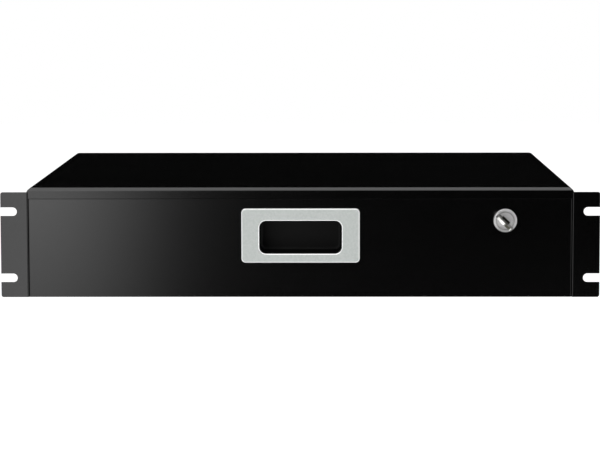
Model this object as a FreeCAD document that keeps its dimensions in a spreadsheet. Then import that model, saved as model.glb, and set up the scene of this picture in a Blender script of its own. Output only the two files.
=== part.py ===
import FreeCAD, Part
import math
import os
import Sketcher
from FreeCAD import Placement, Rotation, Vector

# Sliding rack drawer, two units high, for a 19-inch rack.
# A folded steel case with rack ears carries a drawer on two telescopic ball-bearing slides.
# The drawer has a recessed pull in a satin metal surround and a cam lock with its key.
# Frame: X to the right, Y to the rear, Z up, with the underside on Z = 0. Millimetres.

DOC = FreeCAD.newDocument("sliding_rack_drawer")

SIZES = [
    # case
    ("rack_width", 482.6, "over both ears, the 19-inch panel width"),
    ("ear_reach", 21.0, "reach of each ear from the case side"),
    ("case_height", 88.5, "two rack units less a little play"),
    ("case_depth", 380.0, "front plane to the rear wall"),
    ("front_y", -176.5, "Y of the front plane"),
    ("sheet", 1.2, "folded steel sheet of case and drawer"),
    ("case_corner", 4.5, "outside bend between top and sides"),
    ("lip_bend", 3.5, "outside bend between top and front lip"),
    ("lip_height", 8.7, "height of the front lip"),
    ("ear_drop", 3.5, "upper end of the ears below the top"),
    ("ear_corner", 1.8, "rounding of the ears' outer corners"),
    ("ear_bend", 1.0, "outside bend between side and ear"),
    ("slot_height", 7.0, "height of the open rack slots"),
    ("slot_length", 13.3, "depth of the slots from the ear's outer edge"),
    ("slot_pitch", 53.7, "spacing of each ear's two slots"),
    ("seam_width", 0.3, "open seam between the lip's ends and the sides"),
    # base pan and strike
    ("base_start", 14.0, "front edge of the base behind the front plane"),
    ("base_flange", 14.0, "height of the base's side flanges"),
    ("rear_play", 0.3, "play over the rear wall"),
    ("strike_start", 17.0, "front of the lock strike behind the front plane"),
    ("strike_width", 36.0, "width of the lock strike"),
    ("strike_flange", 12.0, "length of the strike's welded flange"),
    ("strike_rise", 0.2, "lower edge of the strike above the lip's"),
    ("strike_bend", 1.8, "outside bend of the strike"),
    # slides
    ("slide_height", 45.0, "height of the outer rail"),
    ("slide_width", 12.7, "thickness of the closed slide"),
    ("slide_end", 16.0, "rear end of the outer rail in front of the case's rear"),
    ("slide_start", 14.0, "front end of the rails behind the front plane"),
    ("slide_lift", 1.5, "slides above the base's side flanges"),
    ("rail_sheet", 1.2, "rolled steel of the rails"),
    ("outer_reach", 9.4, "inner face of the outer rail from the case side"),
    ("outer_lip", 4.2, "height of the outer rail's lips"),
    ("outer_bend", 3.4, "outside bend of the outer rail"),
    ("middle_from", 2.4, "web of the middle rail from the case side"),
    ("middle_to", 11.4, "far face of the middle rail from the case side"),
    ("middle_lip", 3.5, "height of the middle rail's lips"),
    ("middle_bend", 3.0, "outside bend of the middle rail"),
    ("inner_from", 5.0, "free edges of the inner rail from the case side"),
    ("inner_bend", 2.4, "outside bend of the inner rail"),
    ("ball_play", 0.1, "running play between a ball and each race"),
    ("outer_ball", 4.0, "diameter of the balls in the outer race"),
    ("outer_ball_x", 5.1, "outer balls from the case side"),
    ("inner_ball", 3.2, "diameter of the balls in the inner race"),
    ("inner_ball_x", 6.9, "inner balls from the case side"),
    ("ball_pitch", 28.0, "spacing of the balls along a row"),
    ("ball_count", 5, "balls in a row"),
    ("cage_sheet", 0.6, "thin steel of the ball cages"),
    ("cage_margin", 10.0, "cage past the first and last ball"),
    ("cage_play", 0.3, "play between a cage and the web behind it"),
    ("cage_reach", 6.0, "width of a cage's ball strips"),
    ("middle_setback", 1.0, "middle rail behind the outer rail's front end"),
    ("middle_short", 3.0, "middle and inner rails shorter than the outer"),
    ("stop_height", 16.0, "height of the outer rail's rear stop"),
    ("stop_reach", 9.4, "reach of the rear stop from the case side"),
    ("access_hole", 11.0, "screwdriver holes in the middle rail's web"),
    # screws
    ("screw_thread", 4.0, "M4 screws, studs and cam screw"),
    ("screw_head", 8.0, "diameter of the low screw heads"),
    ("screw_head_height", 1.5, "height of the low screw heads"),
    ("screw_play", 0.1, "radial play of a screw in its hole"),
    ("screw_margin", 35.0, "first and last side screw from the rails' ends"),
    ("screw_count", 3, "side screws in a row"),
    ("base_screw_height", 8.0, "height of the base screws"),
    # drawer
    ("tray_bottom", 3.0, "underside of the tray"),
    ("tray_drop", 7.0, "top edge of the tray below the drawer front's"),
    ("tray_gap", 28.0, "back of the tray in front of the case's rear"),
    ("tray_hem", 6.0, "width of the folded-in edge on the tray's sides and back"),
    ("tray_bend", 2.0, "outside bend at the tray's upright corners"),
    ("front_side_gap", 0.25, "gap between the drawer front and the case side"),
    ("front_bottom", 0.1, "lower edge of the drawer front"),
    ("front_top_gap", 0.25, "gap between the drawer front and the lip"),
    ("front_depth", 12.0, "depth of the drawer front's returns"),
    ("front_bend", 1.0, "outside bend at the drawer front's ends"),
    ("front_edge", 0.2, "rounding of its upper and lower edge"),
    ("stud_side", 108.85, "weld studs from the drawer front's ends"),
    ("stud_rise", 18.0, "lower weld studs above the drawer front's lower edge"),
    ("stud_drop", 19.0, "upper weld studs below the drawer front's upper edge"),
    ("stud_end", 8.0, "end of the weld studs behind the front plane"),
    ("nut_flats", 7.0, "M4 nut over its flats"),
    ("nut_height", 3.2, "height of an M4 nut"),
    # recessed pull
    ("pull_width", 95.5, "width of the metal surround"),
    ("pull_height", 44.0, "height of the metal surround"),
    ("pull_x", 0.5, "surround to the right of the middle"),
    ("pull_rise", 10.2, "surround's centre above the drawer front's"),
    ("pull_corner", 3.5, "rounding of the surround's corners"),
    ("pull_thick", 2.6, "surround in front of the front plane"),
    ("pull_edge", 1.2, "rounded front edges of the surround"),
    ("grip_width", 66.1, "width of the surround's opening"),
    ("grip_height", 26.3, "height of the surround's opening"),
    ("grip_drop", 1.3, "opening's centre below the surround's"),
    ("grip_corner", 5.4, "rounding of the opening's corners"),
    ("cup_sheet", 1.0, "wall of the pressed cup"),
    ("cup_play", 0.4, "cup wall behind the surround's opening edge"),
    ("cup_flange", 4.0, "flange round the cup"),
    ("cup_depth", 24.0, "depth of the cup behind the front plane"),
    ("cup_round", 3.0, "rounding of the cup's floor"),
    ("cut_play", 0.3, "play of a part in its sheet cut-out"),
    ("pull_stud", 3.0, "diameter of the surround's studs"),
    ("pull_stud_x", 42.8, "studs to each side of the surround's middle"),
    ("pull_stud_z", 15.0, "studs above and below the surround's middle"),
    ("pull_stud_end", 6.0, "end of the surround's studs behind the front plane"),
    ("pull_nut_flats", 5.5, "M3 nut over its flats"),
    ("pull_nut_height", 2.4, "height of an M3 nut"),
    # lock
    ("lock_side", 53.85, "lock from the drawer front's right end"),
    ("lock_drop", 17.45, "lock below the drawer front's upper edge"),
    ("lock_head", 19.0, "diameter of the lock's head"),
    ("lock_head_height", 3.0, "height of the lock's head"),
    ("lock_head_edge", 0.8, "rounded edge of the lock's head"),
    ("lock_barrel", 15.8, "diameter of the lock's threaded barrel"),
    ("lock_barrel_flats", 13.6, "barrel over its flats"),
    ("lock_barrel_end", 18.9, "rear end of the barrel"),
    ("lock_nut_flats", 18.0, "lock nut over its flats"),
    ("lock_nut_height", 3.0, "height of the lock nut"),
    ("plug_face", 14.0, "diameter of the plug's face"),
    ("plug_sink", 0.6, "plug's face behind the front of the head"),
    ("plug_step", 1.8, "thickness of the plug's face"),
    ("plug_shaft", 11.4, "diameter of the plug's shaft"),
    ("plug_play", 0.1, "radial play of the plug in the barrel"),
    ("plug_square", 6.4, "square end that carries the cam"),
    ("key_thick", 2.0, "thickness of the key"),
    ("key_play", 0.1, "play of the key's blade in the keyway"),
    ("key_blade", 7.6, "height of the key's blade"),
    ("key_blade_end", 14.0, "tip of the blade behind the front plane"),
    ("key_bow", 16.6, "width of the key's bow"),
    ("key_neck", 7.0, "bow's rear edge in front of the front plane"),
    ("key_reach", 24.0, "front of the bow in front of the front plane"),
    ("key_offset", 0.6, "bow's middle beside the blade's"),
    ("key_eye", 5.0, "diameter of the hole in the bow"),
    ("key_droop", 4.2, "angle by which the key hangs out of line in its keyway"),
    ("keyway_slack", 0.65, "room for that to each side of the key"),
    ("key_turn", 47.0, "key from upright, anticlockwise from the front"),
    ("cam_start", 19.2, "front face of the cam behind the front plane"),
    ("cam_thick", 2.0, "thickness of the cam"),
    ("cam_width", 12.0, "width of the cam"),
    ("cam_reach", 22.4, "tip of the cam from the lock's axis"),
    ("cam_tail", 7.5, "cam below the lock's axis"),
    ("cam_corner", 3.0, "rounding of the cam's lower corners"),
    ("washer_width", 10.5, "diameter of the cam washer"),
    ("washer_thick", 0.8, "thickness of the cam washer"),
    ("cam_screw_depth", 7.0, "cam screw's thread in the plug"),
    ("cam_screw_head", 7.5, "diameter of the cam screw's head"),
    ("cam_screw_height", 2.2, "height of the cam screw's head"),
]

# lengths that follow from those above, worked out in the spreadsheet
FOLLOWING = [
    ("case_width", "=rack_width - ear_reach * 2", "over the case sides"),
    ("lip_bottom", "=case_height - lip_height", "lower edge of the front lip"),
    ("ear_top", "=case_height - ear_drop", "upper end of the ears"),
    ("slot_low", "=(ear_top - slot_pitch) / 2", "height of the lower slots' centre"),
    ("slot_high", "=(ear_top + slot_pitch) / 2", "height of the upper slots' centre"),
    ("strike_bottom", "=lip_bottom + strike_rise", "lower edge of the strike"),
    ("slide_length", "=case_depth - slide_start - slide_end", "length of the outer rail"),
    ("slide_centre", "=base_flange + slide_lift + slide_height / 2", "height of the slides' middle"),
    ("middle_length", "=slide_length - middle_short", "length of the middle and inner rails"),
    ("ball_start", "=(slide_length - ball_pitch * (ball_count - 1)) / 2",
     "first ball behind the rails' front end"),
    ("screw_start", "=slide_start + screw_margin", "first side screws behind the front plane"),
    ("screw_pitch", "=(slide_length - screw_margin * 2) / (screw_count - 1)",
     "spacing of the side screws along the case"),
    ("front_width", "=case_width - (sheet + front_side_gap) * 2", "width of the drawer front"),
    ("front_top", "=lip_bottom - front_top_gap", "upper edge of the drawer front"),
    ("tray_top", "=front_top - tray_drop", "top edge of the tray"),
    ("tray_rear", "=case_depth - tray_gap", "back of the tray behind the front plane"),
    ("stud_x", "=front_width / 2 - stud_side", "weld studs to each side of the middle"),
    ("stud_low", "=front_bottom + stud_rise", "height of the lower weld studs"),
    ("stud_high", "=front_top - stud_drop", "height of the upper weld studs"),
    ("pull_centre", "=(front_bottom + front_top) / 2 + pull_rise",
     "height of the surround's centre"),
    ("grip_centre", "=pull_centre - grip_drop", "height of the opening's centre"),
    ("lock_x", "=front_width / 2 - lock_side", "lock to the right of the middle"),
    ("lock_z", "=front_top - lock_drop", "height of the lock"),
]

MARGIN = 5.0        # how far a cutting tool runs past the sheet that it cuts
SAME = 1e-6         # lengths closer than this count as equal
NEAR = 0.01         # how near an edge lies to the place where it is looked for
FULL_TURN = 360.0
HALF_TURN = 180.0


class Length:
    """A length kept both as its number now and as the expression that drives it."""

    def __init__(self, number, text):
        self.number = float(number)
        self.text = text

    def __add__(self, other):
        other = length(other)
        return Length(self.number + other.number, f"({self.text} + {other.text})")

    def __sub__(self, other):
        other = length(other)
        return Length(self.number - other.number, f"({self.text} - {other.text})")

    def __radd__(self, other):
        return length(other) + self

    def __rsub__(self, other):
        return length(other) - self

    def __mul__(self, factor):
        return Length(self.number * factor, f"({self.text} * {factor:.9g})")

    def __rmul__(self, factor):
        return self * factor

    def __truediv__(self, divisor):
        return Length(self.number / divisor, f"({self.text} / {divisor:.9g})")

    def __neg__(self):
        return Length(-self.number, f"(0 - {self.text})")


def length(value):
    if isinstance(value, Length):
        return value
    return Length(value, f"{float(value):.9g}")


def make_sheet():
    """Write the driving dimensions and return them as lengths by name."""
    sheet = DOC.addObject("Spreadsheet::Sheet", "Sizes")
    lengths = {}
    for row, (alias, value, note) in enumerate(SIZES + FOLLOWING, start=1):
        sheet.set(f"A{row}", alias)
        sheet.set(f"B{row}", str(value))
        sheet.set(f"C{row}", note)
        sheet.setAlias(f"B{row}", alias)
    DOC.recompute()
    for alias, value, note in SIZES + FOLLOWING:
        lengths[alias] = Length(sheet.get(alias), f"Sizes.{alias}")
    return lengths


S = make_sheet()


# ---- modelling helpers -------------------------------------------------------------------

def new_body(name, x=0.0, y=0.0, z=0.0, axis=None, angle=0.0):
    """A body with its own label, placed by expressions."""
    body = DOC.addObject("PartDesign::Body", name)
    body.Label = name
    x, y, z, angle = length(x), length(y), length(z), length(angle)
    turn = Rotation(axis if axis else Vector(0, 0, 1), angle.number)
    body.Placement = Placement(Vector(x.number, y.number, z.number), turn)
    for key, value in (("x", x), ("y", y), ("z", z)):
        body.setExpression(f"Placement.Base.{key}", value.text)
    if axis:
        body.setExpression("Placement.Rotation.Angle", angle.text)
    return body


def origin_part(body, role):
    return next(item for item in body.Origin.OriginFeatures if item.Role == role)


def new_sketch(body, role, height=0.0):
    """A sketch on an origin plane, moved along the plane's world axis by height."""
    sketch = body.newObject("Sketcher::SketchObject", f"{body.Name}_sketch")
    sketch.AttachmentSupport = [(origin_part(body, role), "")]
    sketch.MapMode = "FlatFace"
    height = length(height)
    offset = -height if role == "XZ_Plane" else height
    sketch.setExpression("AttachmentOffset.Base.z", offset.text)
    return sketch


def fix_point(sketch, geometry, position, x, y):
    """Hold a point of the sketch at (x, y) from its origin."""
    for kind, value in (("DistanceX", x), ("DistanceY", y)):
        index = sketch.addConstraint(
            Sketcher.Constraint(kind, -1, 1, geometry, position, value.number))
        sketch.setExpression(f"Constraints[{index}]", value.text)


def add_circle(sketch, x, y, diameter):
    x, y, diameter = length(x), length(y), length(diameter)
    circle = Part.Circle(Vector(x.number, y.number, 0), Vector(0, 0, 1), diameter.number / 2)
    index = sketch.addGeometry(circle)
    fix_point(sketch, index, 3, x, y)
    size = sketch.addConstraint(Sketcher.Constraint("Diameter", index, diameter.number))
    sketch.setExpression(f"Constraints[{size}]", diameter.text)


def heading(start, end):
    """Unit step along an outline's edge."""
    dx, dy = end[0].number - start[0].number, end[1].number - start[1].number
    reach = math.hypot(dx, dy)
    return dx / reach, dy / reach


def add_outline(sketch, corners):
    """Close an outline through corners (x, y) or (x, y, radius); only right angles are rounded."""
    points = [tuple(length(value) for value in corner) for corner in corners]
    count = len(points)
    edges = []
    for index, point in enumerate(points):
        into = heading(points[index - 1], point)
        away = heading(point, points[(index + 1) % count])
        if len(point) == 2:
            edges.append(("point", point[:2], point[:2], None, 0))
            continue
        radius = point[2]
        start = (point[0] - radius * into[0], point[1] - radius * into[1])
        end = (point[0] + radius * away[0], point[1] + radius * away[1])
        centre = (start[0] + radius * away[0], start[1] + radius * away[1])
        turn = into[0] * away[1] - into[1] * away[0]
        edges.append(("arc", start, end, centre, turn))
    drawn = []
    for index, (kind, start, end, centre, turn) in enumerate(edges):
        if kind == "arc":
            drawn.append(add_arc(sketch, start, end, centre, turn))
        follow = edges[(index + 1) % count][1]
        gap = math.hypot(follow[0].number - end[0].number, follow[1].number - end[1].number)
        if gap > SAME:
            line = Part.LineSegment(Vector(end[0].number, end[1].number, 0),
                                    Vector(follow[0].number, follow[1].number, 0))
            drawn.append((sketch.addGeometry(line), 1, 2, end))
    for index, (geometry, first, last, start) in enumerate(drawn):
        following = drawn[(index + 1) % len(drawn)]
        sketch.addConstraint(
            Sketcher.Constraint("Coincident", geometry, last, following[0], following[1]))
        fix_point(sketch, geometry, first, start[0], start[1])


def add_arc(sketch, start, end, centre, turn):
    """Quarter arc from start to end; returns its geometry, its two point numbers and its start."""
    first, last = (start, end) if turn > 0 else (end, start)
    radius = math.hypot(start[0].number - centre[0].number, start[1].number - centre[1].number)
    circle = Part.Circle(Vector(centre[0].number, centre[1].number, 0), Vector(0, 0, 1), radius)
    angles = [math.atan2(point[1].number - centre[1].number, point[0].number - centre[0].number)
              for point in (first, last)]
    if angles[1] < angles[0]:
        angles[1] += 2 * math.pi
    geometry = sketch.addGeometry(Part.ArcOfCircle(circle, angles[0], angles[1]))
    index = sketch.addConstraint(
        Sketcher.Constraint("DistanceX", -1, 1, geometry, 3, centre[0].number))
    sketch.setExpression(f"Constraints[{index}]", centre[0].text)
    return (geometry, 1, 2, start) if turn > 0 else (geometry, 2, 1, start)


def add_box(sketch, left, right, low, high, radius=None):
    """A rectangle in the sketch, with rounded corners if a radius is given."""
    corners = [(left, low), (right, low), (right, high), (left, high)]
    if radius is not None:
        corners = [corner + (radius,) for corner in corners]
    add_outline(sketch, corners)


def add_hexagon(sketch, x, y, flats):
    """A nut's outline with flats at the top and bottom."""
    x, y, flats = length(x), length(y), length(flats)
    corner = flats / math.sqrt(3)
    add_outline(sketch, [
        (x + corner, y),
        (x + corner / 2, y + flats / 2),
        (x - corner / 2, y + flats / 2),
        (x - corner, y),
        (x - corner / 2, y - flats / 2),
        (x + corner / 2, y - flats / 2)])


def pad(body, sketch, size, reverse=False, midplane=False):
    feature = body.newObject("PartDesign::Pad", f"{body.Name}_pad")
    feature.Profile = sketch
    feature.setExpression("Length", length(size).text)
    feature.Reversed = reverse
    feature.Midplane = midplane
    sketch.Visibility = False
    DOC.recompute()
    return feature


def pocket(body, sketch, size=None, reverse=False, midplane=False):
    """Cut the sketch by a length, or through everything, and make sure that it cut."""
    before = body.Shape.Volume
    feature = body.newObject("PartDesign::Pocket", f"{body.Name}_pocket")
    feature.Profile = sketch
    feature.Reversed = reverse
    feature.Midplane = midplane
    if size is None:
        feature.Type = "ThroughAll"
    else:
        feature.setExpression("Length", length(size).text)
    sketch.Visibility = False
    DOC.recompute()
    if feature.Shape.Volume > before - SAME:
        raise RuntimeError(f"{feature.Name} removes nothing")
    return feature


def revolve(body, sketch, axis):
    feature = body.newObject("PartDesign::Revolution", f"{body.Name}_turned")
    feature.Profile = sketch
    feature.ReferenceAxis = (sketch, [axis])
    feature.Angle = FULL_TURN
    sketch.Visibility = False
    DOC.recompute()
    return feature


def round_edges(body, radius, wanted):
    """Fillet the edges whose bounding box the given test accepts."""
    base = body.Tip
    names = [f"Edge{index}" for index, edge in enumerate(base.Shape.Edges, start=1)
             if wanted(edge.BoundBox)]
    if not names:
        raise RuntimeError(f"{body.Name} has no such edge to round")
    feature = body.newObject("PartDesign::Fillet", f"{body.Name}_bend")
    feature.Base = (base, names)
    feature.setExpression("Radius", length(radius).text)
    DOC.recompute()
    return feature


def mirror(body, features, role="YZ_Plane"):
    feature = body.newObject("PartDesign::Mirrored", f"{body.Name}_mirror")
    feature.Originals = features
    feature.MirrorPlane = (origin_part(body, role), [""])
    body.Tip = feature
    DOC.recompute()
    return feature


def spread(body, features, rows, mirror_role=None):
    """Repeat features along rows (axis role, pitch, count) and across a mirror plane."""
    group = body.newObject("PartDesign::MultiTransform", f"{body.Name}_rows")
    group.Originals = features
    steps = []
    for role, pitch, count in rows:
        pattern = body.newObject("PartDesign::LinearPattern", f"{body.Name}_row")
        pattern.Direction = (origin_part(body, role), [""])
        count = length(count)
        pattern.setExpression("Occurrences", count.text)
        pattern.Occurrences = int(count.number)
        total = f"{length(pitch).text} * ({count.text} - 1)"
        pattern.setExpression("Length", total)
        steps.append(pattern)
    if mirror_role:
        flip = body.newObject("PartDesign::Mirrored", f"{body.Name}_flip")
        flip.MirrorPlane = (origin_part(body, mirror_role), [""])
        steps.append(flip)
    group.Transformations = steps
    body.Tip = group
    DOC.recompute()
    return group


def near(value, target):
    return abs(value - length(target).number) < NEAR


# ---- the case ----------------------------------------------------------------------------

INSIDE = S["case_width"] / 2 - S["sheet"]           # inner face of a case side
TRAY_SIDE = INSIDE - S["slide_width"]               # outer face of a tray side
SCREW_HOLE = S["screw_thread"] + S["screw_play"] * 2
SCREWS_IN_ROW = int(S["screw_count"].number)


def side_screw_holes(body, heights):
    """Screw holes through both sides, in a row at each height."""
    sketch = new_sketch(body, "YZ_Plane")
    for height in heights:
        for index in range(SCREWS_IN_ROW):
            along = S["screw_start"] + S["screw_pitch"] * index
            add_circle(sketch, along, height, SCREW_HOLE)
    return pocket(body, sketch, midplane=True)


def make_case_cover():
    """Top, sides, ears and front lip folded from one sheet."""
    body = new_body("case_cover", y=S["front_y"])
    half, sheet, height = S["case_width"] / 2, S["sheet"], S["case_height"]

    # the wrapped outside, then its rounded top front edge
    sketch = new_sketch(body, "XZ_Plane", S["case_depth"])
    add_outline(sketch, [(-half, 0), (half, 0), (half, height, S["case_corner"]),
                         (-half, height, S["case_corner"])])
    pad(body, sketch, S["case_depth"])
    sketch = new_sketch(body, "YZ_Plane")
    middle, clear = S["lip_bottom"] / 2, S["lip_bend"] + MARGIN
    add_outline(sketch, [(-MARGIN, middle), (0, middle), (0, height, S["lip_bend"]),
                         (clear, height), (clear, height + MARGIN),
                         (-MARGIN, height + MARGIN)])
    pocket(body, sketch, midplane=True)

    # the inside, one sheet in, with the lip's inner bend
    sketch = new_sketch(body, "XZ_Plane", sheet)
    inner = S["case_corner"] - sheet
    add_outline(sketch, [(-INSIDE, -MARGIN), (INSIDE, -MARGIN), (INSIDE, height - sheet, inner),
                         (-INSIDE, height - sheet, inner)])
    pocket(body, sketch)
    round_edges(body, S["lip_bend"] - sheet,
                lambda box: near(box.YMin, sheet) and near(box.YMax, sheet)
                and near(box.ZMin, height - sheet) and near(box.ZMax, height - sheet))

    # the drawer's opening under the lip
    sketch = new_sketch(body, "XZ_Plane", -MARGIN)
    add_box(sketch, -INSIDE, INSIDE, -MARGIN, S["lip_bottom"])
    pocket(body, sketch, MARGIN + S["lip_bend"])

    make_ears(body)
    side_screw_holes(body, [S["base_screw_height"], S["slide_centre"]])
    return body


def make_ears(body):
    """The ears with two open slots each, folded outward from the case sides."""
    half, sheet, edge = S["case_width"] / 2, S["sheet"], S["rack_width"] / 2
    slot_end, radius = edge - S["slot_length"], S["slot_height"] / 2
    outline = [(INSIDE, 0), (edge, 0, S["ear_corner"])]
    for centre in (S["slot_low"], S["slot_high"]):
        outline += [(edge, centre - radius), (slot_end, centre - radius, radius),
                    (slot_end, centre + radius, radius), (edge, centre + radius)]
    outline += [(edge, S["ear_top"], S["ear_corner"]), (INSIDE, S["ear_top"])]
    sketch = new_sketch(body, "XZ_Plane", sheet)
    add_outline(sketch, outline)
    ear = pad(body, sketch, sheet)
    mirror(body, [ear])
    sketch = new_sketch(body, "XZ_Plane", 0)
    add_box(sketch, INSIDE - S["seam_width"], INSIDE, S["lip_bottom"] - MARGIN, S["ear_top"])
    seam = pocket(body, sketch, sheet)
    mirror(body, [seam])
    round_edges(body, S["ear_bend"],
                lambda box: near(abs(box.XMin), INSIDE) and near(abs(box.XMax), INSIDE)
                and near(box.YMin, 0) and near(box.YMax, 0) and box.ZMax < S["ear_top"].number + NEAR)


def make_base_pan():
    """The base with side flanges and the rear wall, folded up inside the case cover."""
    body = new_body("base_pan", y=S["front_y"])
    sheet, bend = S["sheet"], S["tray_bend"]
    high, inner = S["base_flange"], S["tray_bend"] - S["sheet"]
    sketch = new_sketch(body, "XZ_Plane", S["case_depth"])
    add_outline(sketch, [
        (-INSIDE, 0, bend), (INSIDE, 0, bend), (INSIDE, high), (INSIDE - sheet, high),
        (INSIDE - sheet, sheet, inner), (-INSIDE + sheet, sheet, inner),
        (-INSIDE + sheet, high), (-INSIDE, high)])
    pad(body, sketch, S["case_depth"] - S["base_start"])
    sketch = new_sketch(body, "XZ_Plane", S["case_depth"])
    top = S["case_height"] - sheet - S["rear_play"]
    side = INSIDE - S["rear_play"]
    add_outline(sketch, [(-side, sheet / 2), (side, sheet / 2), (side, top, S["case_corner"]),
                         (-side, top, S["case_corner"])])
    pad(body, sketch, sheet)
    side_screw_holes(body, [S["base_screw_height"]])
    return body


def make_lock_strike():
    """Angle welded under the top, behind which the lock's cam turns up."""
    body = new_body("lock_strike", x=S["lock_x"], y=S["front_y"] + S["strike_start"])
    sheet, top = S["sheet"], S["case_height"] - S["sheet"]
    sketch = new_sketch(body, "YZ_Plane")
    add_outline(sketch, [
        (0, S["strike_bottom"]), (sheet, S["strike_bottom"]),
        (sheet, top - sheet, S["strike_bend"] - sheet), (S["strike_flange"], top - sheet),
        (S["strike_flange"], top), (0, top, S["strike_bend"])])
    pad(body, sketch, S["strike_width"], midplane=True)
    return body


def screw_profile(sketch, seat, tip):
    """Half of a low-headed screw along the sketch's X axis, its head to the left of the seat."""
    add_outline(sketch, [
        (seat - S["screw_head_height"], 0), (tip, 0), (tip, S["screw_thread"] / 2),
        (seat, S["screw_thread"] / 2), (seat, S["screw_head"] / 2),
        (seat - S["screw_head_height"], S["screw_head"] / 2)])


def make_case_side_screws():
    """Low-headed screws from outside: the upper rows hold the slides, the lower the base."""
    body = new_body("case_side_screws", y=S["front_y"] + S["screw_start"],
                    z=S["base_screw_height"])
    sketch = new_sketch(body, "XZ_Plane")
    screw_profile(sketch, -S["case_width"] / 2, -INSIDE + S["rail_sheet"])
    screw = revolve(body, sketch, "H_Axis")
    lift = S["slide_centre"] - S["base_screw_height"]
    spread(body, [screw], [("Y_Axis", S["screw_pitch"], SCREWS_IN_ROW), ("Z_Axis", lift, 2)], "YZ_Plane")
    return body


# ---- the telescopic ball-bearing slides --------------------------------------------------
# Each slide is drawn with X running inward from the case side, Y to the rear and Z from its
# middle. The left one stands as drawn; the right one is the same slide turned over.

HALF_SLIDE = S["slide_height"] / 2
RAIL = S["rail_sheet"]
OUTER_RACE = HALF_SLIDE - RAIL
OUTER_BALL_Z = OUTER_RACE - S["ball_play"] - S["outer_ball"] / 2
MIDDLE_HALF = OUTER_BALL_Z - S["outer_ball"] / 2 - S["ball_play"]
MIDDLE_RACE = MIDDLE_HALF - RAIL
INNER_BALL_Z = MIDDLE_RACE - S["ball_play"] - S["inner_ball"] / 2
INNER_HALF = INNER_BALL_Z - S["inner_ball"] / 2 - S["ball_play"]


def slide_body(side, name):
    """A body in the slide's own axes on the left or right case side."""
    start = S["front_y"] + S["slide_start"]
    if side == "left":
        return new_body(f"left_{name}", -INSIDE, start, S["slide_centre"])
    return new_body(f"right_{name}", INSIDE, start, S["slide_centre"], Vector(0, 1, 0), HALF_TURN)


def rail_screw_holes(body, diameter):
    """Holes through a rail's web in line with the side screws."""
    sketch = new_sketch(body, "YZ_Plane")
    for index in range(SCREWS_IN_ROW):
        along = S["screw_start"] - S["slide_start"] + S["screw_pitch"] * index
        add_circle(sketch, along, 0, diameter)
    return pocket(body, sketch, midplane=True)


def make_outer_rail(side):
    """The channel on the case side, lipped round the outer balls, with a stop at its rear."""
    body = slide_body(side, "rail_outer")
    reach, bend, inner = S["outer_reach"], S["outer_bend"], S["outer_bend"] - RAIL
    lip = HALF_SLIDE - S["outer_lip"]
    sketch = new_sketch(body, "XZ_Plane", S["slide_length"])
    add_outline(sketch, [
        (0, -HALF_SLIDE, bend), (reach, -HALF_SLIDE, bend), (reach, -lip), (reach - RAIL, -lip),
        (reach - RAIL, -OUTER_RACE, inner), (RAIL, -OUTER_RACE, inner),
        (RAIL, OUTER_RACE, inner), (reach - RAIL, OUTER_RACE, inner), (reach - RAIL, lip),
        (reach, lip), (reach, HALF_SLIDE, bend), (0, HALF_SLIDE, bend)])
    pad(body, sketch, S["slide_length"])
    sketch = new_sketch(body, "XZ_Plane", S["slide_length"])
    add_box(sketch, RAIL / 2, S["stop_reach"], -S["stop_height"] / 2, S["stop_height"] / 2)
    pad(body, sketch, RAIL)
    rail_screw_holes(body, S["screw_thread"] + S["screw_play"])
    return body


def make_middle_rail(side):
    """The rail between, with a race on both sides of each flange."""
    body = slide_body(side, "rail_middle")
    near_web, far, bend = S["middle_from"], S["middle_to"], S["middle_bend"]
    inner, lip = bend - RAIL, MIDDLE_HALF - S["middle_lip"]
    end = S["middle_setback"] + S["middle_length"]
    sketch = new_sketch(body, "XZ_Plane", end)
    add_outline(sketch, [
        (near_web, -MIDDLE_HALF, bend), (far, -MIDDLE_HALF, bend), (far, -lip), (far - RAIL, -lip),
        (far - RAIL, -MIDDLE_RACE, inner), (near_web + RAIL, -MIDDLE_RACE, inner),
        (near_web + RAIL, MIDDLE_RACE, inner), (far - RAIL, MIDDLE_RACE, inner),
        (far - RAIL, lip), (far, lip), (far, MIDDLE_HALF, bend), (near_web, MIDDLE_HALF, bend)])
    pad(body, sketch, S["middle_length"])
    rail_screw_holes(body, S["access_hole"])
    return body


def make_inner_rail(side):
    """The channel on the drawer side, its flanges running on the inner balls."""
    body = slide_body(side, "rail_inner")
    edge, back, bend = S["inner_from"], S["slide_width"], S["inner_bend"]
    inner, race = bend - RAIL, INNER_HALF - RAIL
    sketch = new_sketch(body, "XZ_Plane", S["middle_length"])
    add_outline(sketch, [
        (edge, -INNER_HALF), (back, -INNER_HALF, bend), (back, INNER_HALF, bend),
        (edge, INNER_HALF), (edge, race), (back - RAIL, race, inner),
        (back - RAIL, -race, inner), (edge, -race)])
    pad(body, sketch, S["middle_length"])
    rail_screw_holes(body, S["screw_thread"] + S["screw_play"])
    return body


def make_cage(side, name, web, ball_x, ball_z, diameter):
    """A thin channel that spaces the balls, with a round hole for each."""
    body = slide_body(side, f"{name}_cage")
    thin = S["cage_sheet"]
    low, high = ball_z - thin / 2, ball_z + thin / 2
    far = web + S["cage_reach"]
    first = S["ball_start"] - S["cage_margin"]
    size = S["cage_margin"] * 2 + S["ball_pitch"] * (S["ball_count"].number - 1)
    sketch = new_sketch(body, "XZ_Plane", first + size)
    add_outline(sketch, [
        (web, -high), (far, -high), (far, -low), (web + thin, -low), (web + thin, low),
        (far, low), (far, high), (web, high)])
    pad(body, sketch, size)
    sketch = new_sketch(body, "XY_Plane")
    for index in range(int(S["ball_count"].number)):
        along = S["ball_start"] + S["ball_pitch"] * index
        add_circle(sketch, ball_x, along, diameter + S["ball_play"] * 2)
    pocket(body, sketch, midplane=True)
    return body


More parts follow.
